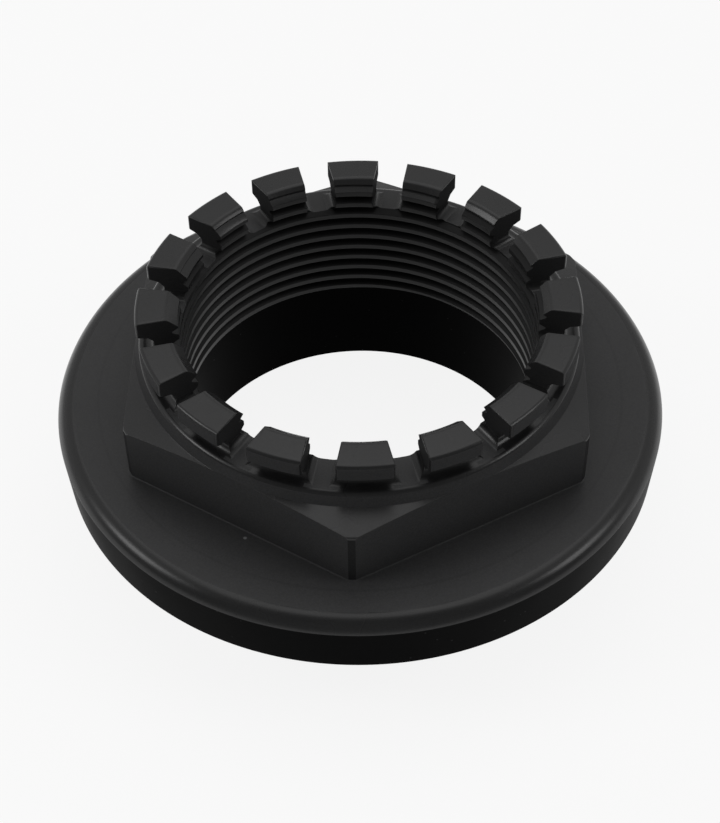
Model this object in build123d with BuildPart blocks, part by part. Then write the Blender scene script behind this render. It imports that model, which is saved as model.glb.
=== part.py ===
from build123d import *
from math import atan2, cos, radians, sin, tan
import os

# Wheel nut for a single-sided hub: one piece, turned, milled, slotted and threaded.
# Sizes are in mm. Z is the thread's axis, the seat end is at z = 0 and the crown points up.
# One corner of the hexagon points along -Y.

# Thread M38 x 1.5, standing here as a plain bore at its minor diameter
thread_size = 38.0
thread_pitch = 1.5
crest_clearance = 0.137
mouth_chamfer = 1.1
minor_radius = thread_size / 2 - 0.5413 * thread_pitch + crest_clearance

# Relief bore below the thread, with a short cone up to it
relief_clearance = 0.05
relief_length = 10.3
relief_radius = thread_size / 2 + relief_clearance

# Spigot below the flange
spigot_wall = 3.45
spigot_length = 7.4
spigot_chamfer = 0.8
spigot_radius = relief_radius + spigot_wall

# Flange: its rim leans out a little from the lower edge and is rounded over at the top
flange_radius = 31.95
flange_thickness = 6.7
rim_lean = 0.35
rim_edge_break = 0.2
rim_round_height = 1.3
rim_round_width = 1.2
rim_round_radius = 2.4

# Hexagon with its corners turned off and its top turned to a shallow cone
across_flats = 46.0
hexagon_height = 7.0
corner_radius = 26.35
top_cone_angle = 13.0
base_fillet = 0.3

# Round collar on the hexagon: a cone that starts a hair wider than the flats, with a rounded top edge
collar_proud = 0.1
collar_inset = 0.7
collar_edge_round = 0.35
collar_radius = across_flats / 2 + collar_proud
collar_top_radius = collar_radius - collar_inset

# Crown: a ring with a lip that overhangs a turned groove
crown_height = 5.0
lip_setback = 0.4
lip_height = 1.8
lip_round = 0.4
lip_edge_break = 0.15
underside_width = 1.1
underside_slope = 0.25
groove_depth = 1.8
groove_height = 2.0
groove_foot_radius = 1.0
lip_radius = collar_radius - lip_setback
neck_radius = lip_radius - groove_depth

# Slots milled down to the groove's floor, which cut the ring into tabs
tab_count = 16
slot_width = 3.2
slot_foot_radius = 1.0
crown_turn = 3.2

# Levels and places that follow from the sizes above
flange_top = spigot_length + flange_thickness
hexagon_top = flange_top + hexagon_height
corner_top = hexagon_top - (corner_radius - collar_radius) * tan(radians(top_cone_angle))
crown_top = hexagon_top + crown_height
lip_bottom = crown_top - lip_height
groove_floor = lip_bottom - groove_height
underside_outer = lip_radius - lip_edge_break
underside_inner = underside_outer - underside_width
neck_top = lip_bottom - underside_slope - (underside_inner - neck_radius)
thread_bottom = relief_length + relief_radius - minor_radius
overlap = 2.0

# The round on the collar's edge takes the same length off the cone and off the groove's floor
collar_slope = atan2(groove_floor - hexagon_top, collar_inset)
edge_trim = collar_edge_round * tan(collar_slope / 2)
collar_edge_inner = collar_top_radius - edge_trim
collar_edge_outer = collar_top_radius + edge_trim * cos(collar_slope)
collar_edge_low = groove_floor - edge_trim * sin(collar_slope)

# The collar's edge and the groove's foot are drawn in a few facets, within 0.04 mm of their arcs
collar_edge_facets = 3
groove_foot_facets = 3


def facet_points(arc, facets):
    return [arc @ (step / facets) for step in range(facets + 1)]


# One straight slot along +X with rounded feet
with BuildPart() as slot:
    with BuildSketch(Plane.YZ.offset(minor_radius - overlap)) as slot_section:
        with Locations((0, crown_top)):
            Rectangle(slot_width, 2 * (crown_top - groove_floor))
        fillet(slot_section.vertices().group_by(Axis.Y)[0], slot_foot_radius)
    extrude(amount=collar_radius - minor_radius + 2 * overlap)

with BuildPart() as wheel_nut:
    # Hexagon, collar, groove and lipped ring, turned as one section
    with BuildSketch(Plane.XZ):
        with BuildLine():
            Polyline(
                (0, crown_top),
                (0, flange_top - overlap),
                (corner_radius, flange_top - overlap),
                (corner_radius, corner_top),
                (collar_radius, hexagon_top),
                (collar_edge_outer, collar_edge_low),
            )
            edge_arc = RadiusArc(
                (collar_edge_outer, collar_edge_low),
                (collar_edge_inner, groove_floor),
                -collar_edge_round,
                mode=Mode.PRIVATE,
            )
            Polyline(*facet_points(edge_arc, collar_edge_facets))
            Line(
                (collar_edge_inner, groove_floor),
                (neck_radius + groove_foot_radius, groove_floor),
            )
            foot_arc = RadiusArc(
                (neck_radius + groove_foot_radius, groove_floor),
                (neck_radius, groove_floor + groove_foot_radius),
                groove_foot_radius,
                mode=Mode.PRIVATE,
            )
            Polyline(*facet_points(foot_arc, groove_foot_facets))
            Polyline(
                (neck_radius, groove_floor + groove_foot_radius),
                (neck_radius, neck_top),
                (underside_inner, lip_bottom - underside_slope),
                (underside_outer, lip_bottom),
                (lip_radius, lip_bottom + lip_edge_break),
                (lip_radius, crown_top - lip_round),
            )
            RadiusArc(
                (lip_radius, crown_top - lip_round),
                (lip_radius - lip_round, crown_top),
                -lip_round,
            )
            Line((lip_radius - lip_round, crown_top), (0, crown_top))
        make_face()
    revolve(axis=Axis.Z)

    # The six flats
    with BuildSketch(Plane.XY.offset(flange_top - overlap)):
        RegularPolygon(across_flats / 2, 6, major_radius=False, rotation=30)
    extrude(amount=crown_top - flange_top + 2 * overlap, mode=Mode.INTERSECT)

    # Flange and spigot
    with BuildSketch(Plane.XZ):
        with BuildLine():
            Polyline(
                (flange_radius - rim_round_width, flange_top),
                (0, flange_top),
                (0, 0),
                (spigot_radius - spigot_chamfer, 0),
                (spigot_radius, spigot_chamfer),
                (spigot_radius, spigot_length),
                (flange_radius - rim_lean - rim_edge_break, spigot_length),
                (flange_radius - rim_lean, spigot_length + rim_edge_break),
                (flange_radius, flange_top - rim_round_height),
            )
            RadiusArc(
                (flange_radius, flange_top - rim_round_height),
                (flange_radius - rim_round_width, flange_top),
                -rim_round_radius,
            )
        make_face()
    revolve(axis=Axis.Z)

    # Small fillet where the hexagon rises from the flange
    foot = wheel_nut.edges().filter_by_position(Axis.Z, flange_top - 0.001, flange_top + 0.001)
    foot = foot.filter_by(lambda edge: Vector((edge @ 0).X, (edge @ 0).Y).length < corner_radius + 0.1)
    fillet(foot, base_fillet)

    # Bore: relief, cone, thread and mouth chamfer
    with BuildSketch(Plane.XZ):
        with BuildLine():
            Polyline(
                (0, -overlap),
                (relief_radius, -overlap),
                (relief_radius, relief_length),
                (minor_radius, thread_bottom),
                (minor_radius, crown_top - mouth_chamfer),
                (minor_radius + mouth_chamfer, crown_top),
                (minor_radius + mouth_chamfer, crown_top + overlap),
                (0, crown_top + overlap),
                (0, -overlap),
            )
        make_face()
    revolve(axis=Axis.Z, mode=Mode.SUBTRACT)

    # Sixteen slots
    with PolarLocations(0, tab_count, start_angle=crown_turn + 180 / tab_count):
        add(slot.part, mode=Mode.SUBTRACT)

wheel_nut.part.label = "wheel_nut"
os.makedirs("parts", exist_ok=True)
export_step(wheel_nut.part, "parts/wheel_nut.step")
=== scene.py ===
from math import acos, atan2, cos, degrees, hypot, pi, radians, sin, sqrt, tan

import bmesh
import bpy
from mathutils import Matrix, Vector


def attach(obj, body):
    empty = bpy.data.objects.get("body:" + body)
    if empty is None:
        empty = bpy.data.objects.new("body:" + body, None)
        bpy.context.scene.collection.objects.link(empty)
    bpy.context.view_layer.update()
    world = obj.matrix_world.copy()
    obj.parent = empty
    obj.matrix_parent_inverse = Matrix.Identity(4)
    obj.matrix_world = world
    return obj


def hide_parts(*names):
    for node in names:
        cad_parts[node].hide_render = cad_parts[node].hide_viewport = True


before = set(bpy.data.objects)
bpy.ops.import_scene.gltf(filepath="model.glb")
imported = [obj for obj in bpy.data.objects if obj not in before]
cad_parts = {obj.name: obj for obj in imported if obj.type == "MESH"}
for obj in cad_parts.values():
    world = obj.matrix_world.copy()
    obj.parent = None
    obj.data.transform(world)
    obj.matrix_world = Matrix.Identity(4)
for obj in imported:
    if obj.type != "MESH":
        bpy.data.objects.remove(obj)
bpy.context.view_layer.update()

# The wheel nut: one piece of aluminium bar, turned to a flange, a hexagon blank and a lipped
# crown, then milled with six flats and sixteen slots, threaded, and anodised a satin black.
# It screws onto the hollow wheel axle with its flange against the wheel.
MM = 0.001

# Sizes of the turned section in millimetres, z upwards from the seat end
SPIGOT_R, SPIGOT_Z, SPIGOT_CHAMFER = 22.5, 7.4, 0.8
FLANGE_R, FLANGE_Z = 31.95, 14.1
RIM_FOOT_R, RIM_BREAK = 31.6, 0.2
RIM_TOP_R, RIM_SIDE_Z, RIM_ROUND, RIM_BLEND = 30.75, 12.8, 2.4, 1.8
FLAT, CORNER_R, BASE_FILLET = 23.0, 26.35, 0.12
LEDGE_Z, LEDGE_ANGLE, CORNER_ROUND = 21.1, 13.0, 0.25
COLLAR_R, COLLAR_TOP_R, COLLAR_EDGE = 23.1, 22.4, 0.65
FLOOR_Z, NECK_R, NECK_FOOT, NECK_TOP_Z = 22.3, 20.9, 1.0, 23.5
UNDER_IN, UNDER_OUT, LIP_FOOT_Z = (21.45, 24.05), (22.55, 24.3), 24.45
LIP_R, LIP_ROUND, CROWN_Z = 22.7, 0.5, 26.1
BORE_R, MOUTH, MOUTH_ROUND = 18.325, 1.1, 0.8
RELIEF_R, RELIEF_Z = 19.05, 10.3


def arc(start, end, radius, steps):
    """Points after start up to end on an arc, its centre on the left for a positive radius."""
    (r0, z0), (r1, z1) = start, end
    half = hypot(r1 - r0, z1 - z0) / 2
    aside = sqrt(max(radius * radius - half * half, 0.0)) / (2 * half)
    if radius < 0:
        aside = -aside
    cr = (r0 + r1) / 2 - (z1 - z0) * aside
    cz = (z0 + z1) / 2 + (r1 - r0) * aside
    a0 = atan2(z0 - cz, r0 - cr)
    turn = (atan2(z1 - cz, r1 - cr) - a0 + pi) % (2 * pi) - pi
    angles = [a0 + turn * k / steps for k in range(1, steps + 1)]
    return [(cr + abs(radius) * cos(a), cz + abs(radius) * sin(a)) for a in angles]


# Columns of the mesh round the axis, as degrees off the middle of a flat. They meet the ends of
# each flat and of its trace on the collar, and lie closest where the hexagon's corners curve.
CORNER_BAND = 0.2
trace = degrees(acos(FLAT / COLLAR_R))
flat_end = degrees(acos(FLAT / CORNER_R))
round_trace = degrees(acos(FLAT / (CORNER_R - CORNER_BAND)))
sector = []
for start, end, count in (
    (-30.0, -flat_end, 1),
    (-flat_end, -round_trace, 2),
    (-round_trace, -trace, 24),
    (-trace, trace, 12),
    (trace, round_trace, 24),
    (round_trace, flat_end, 2),
    (flat_end, 30.0, 1),
):
    sector += [start + (end - start) * k / count for k in range(count)]
columns = [(60.0 * flat, angle) for flat in range(6) for angle in sector]


# Each row of the section is a function from a column's angle to its radius and height
def flat_cut(radius, angle, offset=0.0):
    """The radius where a turned surface and the nearest flat leave the metal."""
    return min(radius, (FLAT + offset) / cos(radians(angle)))


def turned(radius, height):
    return lambda angle: (radius, height)


def milled(radius, height):
    return lambda angle: (flat_cut(radius, angle), height)


def hexagon_foot(offset, height):
    return lambda angle: (flat_cut(CORNER_R + offset, angle, offset), height)


def ledge_height(radius):
    return LEDGE_Z - (radius - COLLAR_R) * ledge_slope


def ledge(radius):
    """A row on the cone that the lathe left on the hexagon's end."""
    def point(angle):
        cut = flat_cut(radius, angle)
        return cut, ledge_height(cut)

    return point


def corner(steepness):
    """A row on the small round that breaks the hexagon's corners at the ledge."""
    def point(angle):
        cut = flat_cut(round_r + CORNER_ROUND * cos(radians(steepness)), angle)
        if cut <= round_end:
            return cut, ledge_height(cut)
        return cut, round_z + sqrt(max(CORNER_ROUND**2 - (cut - round_r) ** 2, 0.0))

    return point


ledge_slope = tan(radians(LEDGE_ANGLE))
round_r = CORNER_R - CORNER_ROUND
round_z = ledge_height(round_r) - CORNER_ROUND * sqrt(1 + ledge_slope**2)
round_end = round_r + CORNER_ROUND * ledge_slope / sqrt(1 + ledge_slope**2)

# The spigot and the flange's side
rows = [turned(RELIEF_R, 0.0), turned(SPIGOT_R - SPIGOT_CHAMFER, 0.0)]
rows += [turned(SPIGOT_R, SPIGOT_CHAMFER), turned(SPIGOT_R, SPIGOT_Z)]
rows += [turned(RIM_FOOT_R - RIM_BREAK, SPIGOT_Z), turned(RIM_FOOT_R, SPIGOT_Z + RIM_BREAK)]
rows += [turned(FLANGE_R, RIM_SIDE_Z)]

# The flange's rim, whose round runs on into the flat top through a smaller one
chord = Vector((RIM_TOP_R - FLANGE_R, FLANGE_Z - RIM_SIDE_Z))
centre = Vector((FLANGE_R, RIM_SIDE_Z)) + chord / 2
centre += Vector((-chord.y, chord.x)).normalized() * sqrt(RIM_ROUND**2 - chord.length_squared / 4)
lift = FLANGE_Z - RIM_BLEND - centre.y
blend_r = centre.x + sqrt((RIM_ROUND - RIM_BLEND) ** 2 - lift * lift)
meet = centre + Vector((blend_r - centre.x, lift)).normalized() * RIM_ROUND
rim = arc((FLANGE_R, RIM_SIDE_Z), tuple(meet), RIM_ROUND, 6)
rim += arc(tuple(meet), (blend_r, FLANGE_Z), RIM_BLEND, 10)
rows += [turned(r, z) for r, z in rim]

# The hexagon, from its foot's fillet to its corners' round and the ledge
FILLET_STEPS, CORNER_STEPS = 6, 5
for k in range(FILLET_STEPS + 1):
    a = radians(90.0 / FILLET_STEPS * k)
    rows.append(hexagon_foot(BASE_FILLET * (1 - sin(a)), FLANGE_Z + BASE_FILLET * (1 - cos(a))))
rows += [corner((90.0 - LEDGE_ANGLE) * k / CORNER_STEPS) for k in range(CORNER_STEPS + 1)]
rows += [ledge(round_end - 0.08), ledge(round_end - 0.16)]
rows += [ledge(COLLAR_R + 0.1), ledge(COLLAR_R)]

# The collar, with a rounded upper edge
collar_slope = atan2(FLOOR_Z - LEDGE_Z, COLLAR_R - COLLAR_TOP_R)
trim = COLLAR_EDGE * tan(collar_slope / 2)
collar = [(COLLAR_TOP_R + trim * cos(collar_slope), FLOOR_Z - trim * sin(collar_slope))]
collar += arc(collar[0], (COLLAR_TOP_R - trim, FLOOR_Z), COLLAR_EDGE, 6)
rows += [milled(r, z) for r, z in collar]

# The groove, the neck, the lip and the crown, then the mouth and the bore
crown = [(NECK_R + NECK_FOOT, FLOOR_Z)]
crown += arc(crown[0], (NECK_R, FLOOR_Z + NECK_FOOT), -NECK_FOOT, 8)
crown += [(NECK_R, NECK_TOP_Z), UNDER_IN, UNDER_OUT, (LIP_R, LIP_FOOT_Z)]
crown += [(LIP_R, CROWN_Z - LIP_ROUND)]
crown += arc(crown[-1], (LIP_R - LIP_ROUND, CROWN_Z), LIP_ROUND, 9)
trim = MOUTH_ROUND * tan(radians(22.5))
drop = trim * sqrt(0.5)
crown += [(BORE_R + MOUTH + trim, CROWN_Z)]
crown += arc(crown[-1], (BORE_R + MOUTH - drop, CROWN_Z - drop), MOUTH_ROUND, 7)
crown += [(BORE_R, CROWN_Z - MOUTH)]
crown += [(BORE_R, RELIEF_Z + RELIEF_R - BORE_R), (RELIEF_R, RELIEF_Z)]
rows += [turned(r, z) for r, z in crown]


def closed_mesh(name, points, faces):
    """A closed mesh object from points in millimetres, with doubled points merged."""
    mesh = bpy.data.meshes.new(name)
    mesh.from_pydata([Vector(p) * MM for p in points], [], faces)
    work = bmesh.new()
    work.from_mesh(mesh)
    bmesh.ops.remove_doubles(work, verts=work.verts, dist=1e-8)
    bmesh.ops.dissolve_degenerate(work, edges=work.edges, dist=1e-8)
    bmesh.ops.recalc_face_normals(work, faces=work.faces)
    work.to_mesh(mesh)
    work.free()
    thing = bpy.data.objects.new(name, mesh)
    bpy.context.collection.objects.link(thing)
    return thing


def around(radius, height, angle):
    return radius * cos(radians(angle)), radius * sin(radians(angle)), height


points = []
for flat, angle in columns:
    points += [around(*row(angle), flat + angle) for row in rows]
faces = []
for i in range(len(columns)):
    here = i * len(rows)
    ahead = (i + 1) % len(columns) * len(rows)
    for k in range(len(rows)):
        m = (k + 1) % len(rows)
        faces.append((here + k, ahead + k, ahead + m, here + m))
nut = closed_mesh("wheel_nut_body", points, faces)

# The thread M38 x 1.5, right-handed, cut by a screw with the tooth form of a tap.
# Its crests end in the mouth's chamfer and its roots in the relief below.
ROOT_R, PITCH, FLANK_ANGLE = 19.0, 1.5, 30.0
TURNS, CORE_R, FIRST_ROOT, THREAD_AT = 12, 18.05, 8.92, 92.15
TAP_POINT, TAP_TAIL = 3.0, 2.0
ROOT_HALF = PITCH / 16
core_half = ROOT_HALF + (ROOT_R - CORE_R) * tan(radians(FLANK_ANGLE))
tooth = (
    (ROOT_R, -ROOT_HALF),
    (ROOT_R, ROOT_HALF),
    (CORE_R, core_half),
    (CORE_R, PITCH - core_half),
)
per_turn, steps = len(columns), TURNS * len(columns)
points = []
for i in range(steps + 1):
    flat, angle = columns[i % per_turn]
    turns = i // per_turn + (flat + angle - THREAD_AT) / 360.0
    points += [around(r, FIRST_ROOT + PITCH * turns + z, flat + angle) for r, z in tooth]
faces = []
for i in range(steps):
    for k in range(3):
        faces.append((4 * i + k, 4 * i + 4 + k, 4 * i + 5 + k, 4 * i + 1 + k))
for i in range(steps - per_turn):
    above = i + per_turn
    faces.append((4 * i + 3, 4 * i + 7, 4 * above + 4, 4 * above))

# The tap's two ends, closed by cones to a point on the axis
low, high = len(points), len(points) + 1
points += [(0.0, 0.0, FIRST_ROOT - TAP_POINT)]
points += [(0.0, 0.0, FIRST_ROOT + PITCH * TURNS + TAP_TAIL)]
for i in range(per_turn):
    faces.append((low, 4 * i + 4, 4 * i))
for i in range(steps - per_turn, steps):
    faces.append((high, 4 * i + 3, 4 * i + 7))
for k in range(3):
    faces.append((low, k, k + 1))
    faces.append((high, 4 * steps + k + 1, 4 * steps + k))
faces.append((low, 3, 4 * per_turn))
faces.append((high, 4 * steps, 4 * (steps - per_turn) + 3))
tap = closed_mesh("tap", points, faces)

# The slots, milled straight through the ring along the radius by a cutter with rounded corners.
# The edges they leave on the tabs are broken: a small round along the top and a wider one
# down each outer corner of the lip.
SLOTS, SLOT_WIDTH, SLOT_FOOT, SLOT_AT = 16, 3.2, 1.0, 14.45
TAB_TOP_ROUND, TAB_CORNER_ROUND = 0.15, 0.35
SLOT_FROM_R, SLOT_TO_R, CLEAR_Z = 16.0, 25.0, 30.0
LIP_FROM_Z, LIP_FROM_R = 23.2, 21.5

# The slot's outline, seen along the radius
slot_half = SLOT_WIDTH / 2
shoulder = slot_half + TAB_TOP_ROUND
right = [(shoulder + 0.03, CLEAR_Z), (shoulder + 0.03, CROWN_Z + 0.005), (shoulder, CROWN_Z)]
right += arc(right[-1], (slot_half, CROWN_Z - TAB_TOP_ROUND), TAB_TOP_ROUND, 4)
right += [(slot_half, FLOOR_Z + SLOT_FOOT)]
right += arc(right[-1], (slot_half - SLOT_FOOT, FLOOR_Z), -SLOT_FOOT, 8)
slot_outline = right + [(-y, z) for y, z in reversed(right)]

# The outline that rounds the lip's corners beside a slot, seen from above
corner_y = slot_half + TAB_CORNER_ROUND
corner_x = sqrt((LIP_R - TAB_CORNER_ROUND) ** 2 - corner_y**2)
outwards = LIP_R / (LIP_R - TAB_CORNER_ROUND)
right = [(LIP_FROM_R, slot_half - 0.1), (corner_x, slot_half)]
right += arc(right[-1], (corner_x * outwards, corner_y * outwards), TAB_CORNER_ROUND, 6)
right += [(corner_x * outwards + 1.5, corner_y * outwards + 0.3)]
corner_outline = right + [(x, -y) for x, y in reversed(right)]


def cutter_of(name, outline, place):
    """A cutter for all the slots: the outline swept between two ends, at each slot's angle."""
    points, faces = [], []
    size = len(outline)
    for n in range(SLOTS):
        a = radians(SLOT_AT + 360.0 * n / SLOTS)
        base = len(points)
        for end in (0, 1):
            for u, v in outline:
                x, y, z = place(u, v, end)
                points.append((x * cos(a) - y * sin(a), x * sin(a) + y * cos(a), z))
        faces.append(tuple(base + k for k in range(size)))
        faces.append(tuple(base + size + k for k in reversed(range(size))))
        for k in range(size):
            m = (k + 1) % size
            faces.append((base + k, base + size + k, base + size + m, base + m))
    return closed_mesh(name, points, faces)


def along_radius(y, z, end):
    return (SLOT_FROM_R, SLOT_TO_R)[end], y, z


def upright(x, y, end):
    return x, y, (LIP_FROM_Z, CLEAR_Z)[end]


slot_cutter = cutter_of("slot_cutter", slot_outline, along_radius)
corner_cutter = cutter_of("corner_cutter", corner_outline, upright)

# The tap and the cutters are taken out of the turned nut, in that order
for tool in (tap, slot_cutter, corner_cutter):
    cut = nut.modifiers.new(tool.name, "BOOLEAN")
    cut.operation = "DIFFERENCE"
    cut.solver = "MANIFOLD"
    cut.object = tool
evaluated = nut.evaluated_get(bpy.context.evaluated_depsgraph_get())
cut_mesh = bpy.data.meshes.new_from_object(evaluated)
nut.modifiers.clear()
nut.data = cut_mesh
for tool in (tap, slot_cutter, corner_cutter):
    bpy.data.objects.remove(tool)


# The anodised skin keeps the tool marks below it: rings where the nut was turned, straight
# strokes on the flats and in the slots. It is one black, painted in lit and shaded copies: each
# zone has its own tint, gloss and index of refraction, and the tints are painted light and shade.
def add_node(tree, kind, *inputs, **settings):
    """A node with its settings, fed in order from the given sockets or values."""
    node = tree.nodes.new(kind)
    for key, value in settings.items():
        setattr(node, key, value)
    for place, value in enumerate(inputs):
        if isinstance(value, bpy.types.NodeSocket):
            tree.links.new(value, node.inputs[place])
        elif value is not None:
            node.inputs[place].default_value = value
    return node


def maths(tree, operation, *inputs):
    """The result of a sum on single values."""
    return add_node(tree, "ShaderNodeMath", *inputs, operation=operation).outputs[0]


def noise(tree, place, scale, detail):
    """Noise of a given scale over the nut, in millimetres."""
    grain = add_node(tree, "ShaderNodeTexNoise", place)
    grain.inputs["Scale"].default_value = scale
    grain.inputs["Detail"].default_value = detail
    return grain.outputs["Fac"]


def anodised(name, tint, roughness, ior, marks, bump_strength=0.5, specks=0.0, blemish=None):
    """Black anodised aluminium, its tool marks along the lines where marks(...) is level."""
    finish = bpy.data.materials.new(name)
    finish.use_nodes = True
    tree = finish.node_tree
    skin = tree.nodes["Principled BSDF"]
    skin.inputs["IOR"].default_value = ior
    spot = add_node(tree, "ShaderNodeTexCoord").outputs["Object"]
    place = add_node(tree, "ShaderNodeVectorMath", spot, operation="SCALE")
    place.inputs["Scale"].default_value = 1 / MM
    place = place.outputs[0]

    # Tool marks and pores as a fine relief, on edges that are slightly worn
    split = add_node(tree, "ShaderNodeSeparateXYZ", place)
    across = marks(tree, *split.outputs)
    lines = add_node(tree, "ShaderNodeTexNoise", noise_dimensions="1D")
    tree.links.new(across, lines.inputs["W"])
    lines.inputs["Scale"].default_value = 2.6
    lines.inputs["Detail"].default_value = 3.0
    lines.inputs["Roughness"].default_value = 0.6
    pores = noise(tree, place, 6.0, 2.0)
    cloud = noise(tree, place, 0.12, 3.0)
    edge = add_node(tree, "ShaderNodeBevel", samples=4)
    edge.inputs["Radius"].default_value = 0.1 * MM
    bump = add_node(tree, "ShaderNodeBump")
    bump.inputs["Strength"].default_value = bump_strength
    bump.inputs["Distance"].default_value = 0.006 * MM
    relief = maths(tree, "MULTIPLY_ADD", pores, 0.35, lines.outputs["Fac"])
    tree.links.new(relief, bump.inputs["Height"])
    tree.links.new(edge.outputs[0], bump.inputs["Normal"])
    tree.links.new(bump.outputs[0], skin.inputs["Normal"])

    # The gloss drifts by a tenth either way over the nut
    least, most = roughness - 0.1, roughness + 0.1
    gloss = add_node(tree, "ShaderNodeMapRange", cloud, 0.0, 1.0, least, most)
    tree.links.new(gloss.outputs[0], skin.inputs["Roughness"])

    # The tint, uneven from pore to pore, with specks of dust
    shade = add_node(tree, "ShaderNodeMapRange", pores, 0.0, 1.0, 0.7, 1.3).outputs[0]
    dust = add_node(tree, "ShaderNodeTexVoronoi", place)
    dust.inputs["Scale"].default_value = 0.7
    off_dust = dust.outputs["Distance"]
    speck = add_node(tree, "ShaderNodeMapRange", off_dust, 0.05, 0.08, 1.0 + specks, 1.0)
    shade = maths(tree, "MULTIPLY", shade, speck.outputs[0])
    if blemish:
        shade = maths(tree, "MULTIPLY", shade, blemish(tree, place, across))
    black = (tint, tint, tint * 1.015)
    colour = add_node(tree, "ShaderNodeVectorMath", black, operation="SCALE")
    tree.links.new(shade, colour.inputs["Scale"])
    tree.links.new(colour.outputs[0], skin.inputs["Base Color"])
    return finish


def rings(tree, x, y, z):
    """Marks of the lathe: level lines run round the axis on a turned face or a cylinder."""
    flat_place = add_node(tree, "ShaderNodeCombineXYZ", x, y).outputs[0]
    radius = add_node(tree, "ShaderNodeVectorMath", flat_place, operation="LENGTH")
    return maths(tree, "SUBTRACT", radius.outputs["Value"], z)


def strokes(tree, x, y, z):
    """Marks of the mill: level lines run along the flats."""
    return maths(tree, "MULTIPLY", z, 2.0)


def ring_and_speck(tree, place, across):
    """On the flange's top: a faint dark ring off the hexagon's corners, and a speck of dust."""
    ring_r, ring_half, ring_shade = 27.6, 0.14, -0.1
    speck_at, speck_r, speck_edge, speck_shade = (-10.65, -21.34, FLANGE_Z), 0.12, 0.2, 5.0
    on_ring = maths(tree, "COMPARE", across, ring_r - FLANGE_Z, ring_half)
    ring = maths(tree, "MULTIPLY_ADD", on_ring, ring_shade, 1.0)
    off = add_node(tree, "ShaderNodeVectorMath", place, speck_at, operation="DISTANCE")
    off = off.outputs["Value"]
    speck = add_node(tree, "ShaderNodeMapRange", off, speck_r, speck_edge, speck_shade, 1.0)
    return maths(tree, "MULTIPLY", ring, speck.outputs[0])


# Name, tint, roughness, index of refraction and tool marks of each zone's finish; the tints are
# painted light and shade, darker than the crown's on the flange's side and the thread, lighter
# elsewhere
finishes_and_painted_light = [
    anodised("black_crown", 0.017, 0.27, 1.42, rings),
    # Painted light: the flange's top is lighter than the crown
    anodised("black_flange_top_painted_light", 0.042, 0.46, 1.32, rings, blemish=ring_and_speck),
    # Painted light: the flats are the lightest of all
    anodised("black_flats_painted_light", 0.046, 0.45, 1.06, strokes, bump_strength=0.3),
    # Painted light: the slots are lighter than the crown
    anodised("black_slots_painted_light", 0.03, 0.5, 1.02, strokes),
    # Painted shade: the flange's side, the spigot and the relief get a near-black tint and a
    # faint reflection
    anodised("black_flange_side_painted_shade", 0.003, 0.4, 1.05, rings, specks=9.0),
    # Painted shade: the thread's tint is darker than the crown's
    anodised("black_thread_painted_shade", 0.008, 0.3, 1.3, rings),
    # Painted light: the ledge is lighter than the crown
    anodised("black_ledge_painted_light", 0.026, 0.28, 1.42, rings),
]
CROWN, TOP, MILLED, SLOT, SIDE, THREAD, LEDGE = range(7)
IN_BORE = ROOT_R + 0.1
SLACK = 0.01


def finish_and_painted_light_of(face):
    """Which finish, and with it which painted tint, a face of the nut has, by its place and its
    normal.
    """
    x, y, z = face.calc_center_median() / MM
    radius, angle = hypot(x, y), degrees(atan2(y, x))
    up = face.normal.z
    outward = (face.normal.x * x + face.normal.y * y) / radius
    # The flange's side, the spigot and the relief take the painted shade
    if z < RIM_SIDE_Z and (radius > IN_BORE or z < RELIEF_Z):
        return SIDE
    # The thread takes the painted shade
    if radius < IN_BORE and outward < -0.3 and z < CROWN_Z - MOUTH:
        return THREAD
    if z < FLANGE_Z + BASE_FILLET:
        return CROWN if radius > blend_r else TOP
    slot_step = 360.0 / SLOTS
    off_slot = (angle - SLOT_AT + slot_step / 2) % slot_step - slot_step / 2
    if z > FLOOR_Z - SLACK and abs(radius * sin(radians(off_slot))) < slot_half + SLACK:
        at_foot = z < FLOOR_Z + SLOT_FOOT
        if z > CROWN_Z - TAB_TOP_ROUND or (0.15 < up < 0.97 and at_foot):
            return CROWN
        return TOP if up > 0.5 and at_foot else SLOT
    if z < LEDGE_Z and abs(up) < 0.1:
        off_flat = (angle + 30.0) % 60.0 - 30.0
        return MILLED if abs(off_flat) < flat_end else SLOT
    if z < LEDGE_Z:
        return LEDGE
    if z < collar[0][1] and outward > 0.0:
        return MILLED
    if FLOOR_Z + 0.6 < z < LIP_FOOT_Z and outward > -0.3:
        return SLOT
    if LIP_FOOT_Z < z < CROWN_Z and outward > 0.9:
        return MILLED
    return CROWN


# The finishes, with their painted light and shade, go onto the nut's faces, and only its real
# edges stay sharp
SHARP = radians(22.0)
nut.data.materials.clear()
for finish in finishes_and_painted_light:
    nut.data.materials.append(finish)
work = bmesh.new()
work.from_mesh(nut.data)
bmesh.ops.remove_doubles(work, verts=work.verts, dist=2e-7)
bmesh.ops.dissolve_degenerate(work, edges=work.edges, dist=2e-7)
for face in work.faces:
    face.smooth = True
    face.material_index = finish_and_painted_light_of(face)
for edge in work.edges:
    edge.smooth = edge.is_manifold and edge.calc_face_angle(0.0) < SHARP
work.to_mesh(nut.data)
work.free()
weighted = nut.modifiers.new("even_shading", "WEIGHTED_NORMAL")
weighted.keep_sharp = True
weighted.weight = 100

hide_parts("wheel_nut")
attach(nut, "root")

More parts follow.
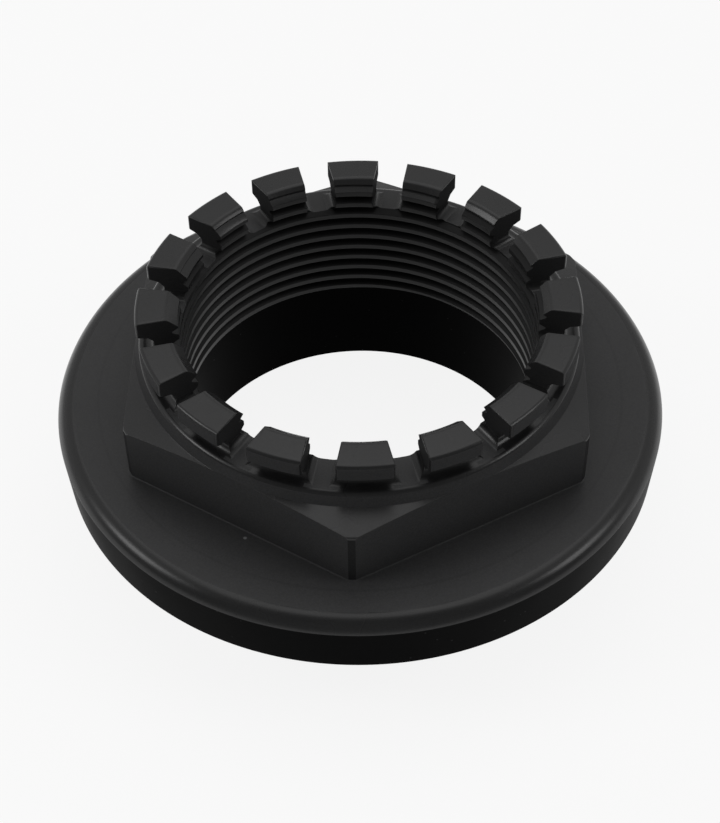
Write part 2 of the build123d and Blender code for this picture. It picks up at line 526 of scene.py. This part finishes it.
# The floor: a plain pale sheet that the nut stands on. Most of its white is its own, so that
# it stays pale round the nut, and the rest takes the light and the nut's shadow.
FLOOR_WIDTH, FLOOR_DROP = 8.0, 0.00002
OWN_WHITE = 0.88
bpy.ops.mesh.primitive_plane_add(size=FLOOR_WIDTH, location=(0.0, 0.0, -FLOOR_DROP))
floor = bpy.context.object
floor.name = "floor"
pale = bpy.data.materials.new("pale_floor")
pale.use_nodes = True
tree = pale.node_tree
matt = tree.nodes["Principled BSDF"]
matt.inputs["Base Color"].default_value = (0.9, 0.9, 0.9, 1.0)
matt.inputs["Roughness"].default_value = 0.9
matt.inputs["Specular IOR Level"].default_value = 0.0
white = add_node(tree, "ShaderNodeEmission", (1.0, 1.0, 1.0, 1.0), 1.0)
ray = add_node(tree, "ShaderNodeLightPath").outputs
seen = maths(tree, "MAXIMUM", ray["Is Camera Ray"], ray["Is Glossy Ray"])
seen = maths(tree, "MAXIMUM", seen, ray["Is Transmission Ray"])
share = maths(tree, "MULTIPLY", seen, OWN_WHITE)
both = add_node(tree, "ShaderNodeMixShader", share, matt.outputs[0], white.outputs[0])
tree.links.new(both.outputs[0], tree.nodes["Material Output"].inputs["Surface"])
floor.data.materials.append(pale)

# The room's light: pale behind the nut and overhead, dimmer on the camera's side, where only
# a faint glow far in front keeps the near flats from going black.
BRIGHT_SIDE = (0.0, 0.9925, 0.122)
world = bpy.data.worlds.new("room")
bpy.context.scene.world = world
world.use_nodes = True
tree = world.node_tree
direction = add_node(tree, "ShaderNodeTexCoord").outputs["Generated"]
toward = add_node(tree, "ShaderNodeVectorMath", direction, BRIGHT_SIDE, operation="DOT_PRODUCT")
toward = toward.outputs["Value"]


def fade(start, end, from_level, to_level):
    """A smooth change of the light's level between two shares of the way to the bright side."""
    change = add_node(tree, "ShaderNodeMapRange", toward, start, end, from_level, to_level,
                      interpolation_type="SMOOTHSTEP")
    return change.outputs[0]


level = maths(tree, "ADD", fade(-0.2, 0.3, 0.15, 0.56), fade(-0.4, -0.8, 0.0, 0.08))
tree.nodes["Background"].inputs["Color"].default_value = (1.0, 1.0, 1.0, 1.0)
tree.links.new(level, tree.nodes["Background"].inputs["Strength"])

# Three softboxes, half a metre from the nut: one on each side, the left one a little
# stronger, and a weaker, wider one high up behind.
SOFTBOX_AWAY = 0.5
for name, bearing, elevation, width, radiance in (
    ("softbox_left", 188.0, 37.0, 0.16, 5.0),
    ("softbox_right", -8.0, 37.0, 0.16, 3.6),
    ("softbox_above", 90.0, 70.0, 0.4, 0.7),
):
    lamp = bpy.data.lights.new(name, "AREA")
    lamp.shape = "SQUARE"
    lamp.size = width
    lamp.energy = radiance * pi * width * width
    softbox = bpy.data.objects.new(name, lamp)
    bpy.context.collection.objects.link(softbox)
    b, e = radians(bearing), radians(elevation)
    out = Vector((cos(b) * cos(e), sin(b) * cos(e), sin(e)))
    softbox.location = out * SOFTBOX_AWAY
    softbox.rotation_euler = out.to_track_quat("Z", "Y").to_euler()

# The camera, at the photograph's viewing angle and distance, in millimetres and degrees.
# Its turn is about the nut's axis, away from a corner of the hexagon.
DISTANCE, ELEVATION, TURN, ROLL = 190.39, 46.728, 2.149, 0.82
AIM = (-0.018, 0.0, 9.695)
camera_data = bpy.data.cameras.new("camera")
camera = bpy.data.objects.new("camera", camera_data)
bpy.context.collection.objects.link(camera)
camera_data.sensor_width = 36.0
camera_data.lens = 77.26
camera_data.clip_start = 0.01
camera_data.clip_end = 10.0
turn = Matrix.Rotation(radians(TURN), 4, "Z")
target = turn @ Vector(AIM)
back = turn @ Vector((0.0, -cos(radians(ELEVATION)), sin(radians(ELEVATION))))
aim = (-back).to_track_quat("-Z", "Y").to_matrix().to_4x4()
roll = Matrix.Rotation(radians(-ROLL), 4, "Z")
camera.matrix_world = Matrix.Translation((target + back * DISTANCE) * MM) @ aim @ roll
bpy.context.scene.camera = camera

bpy.context.scene.view_settings.view_transform = "Standard"
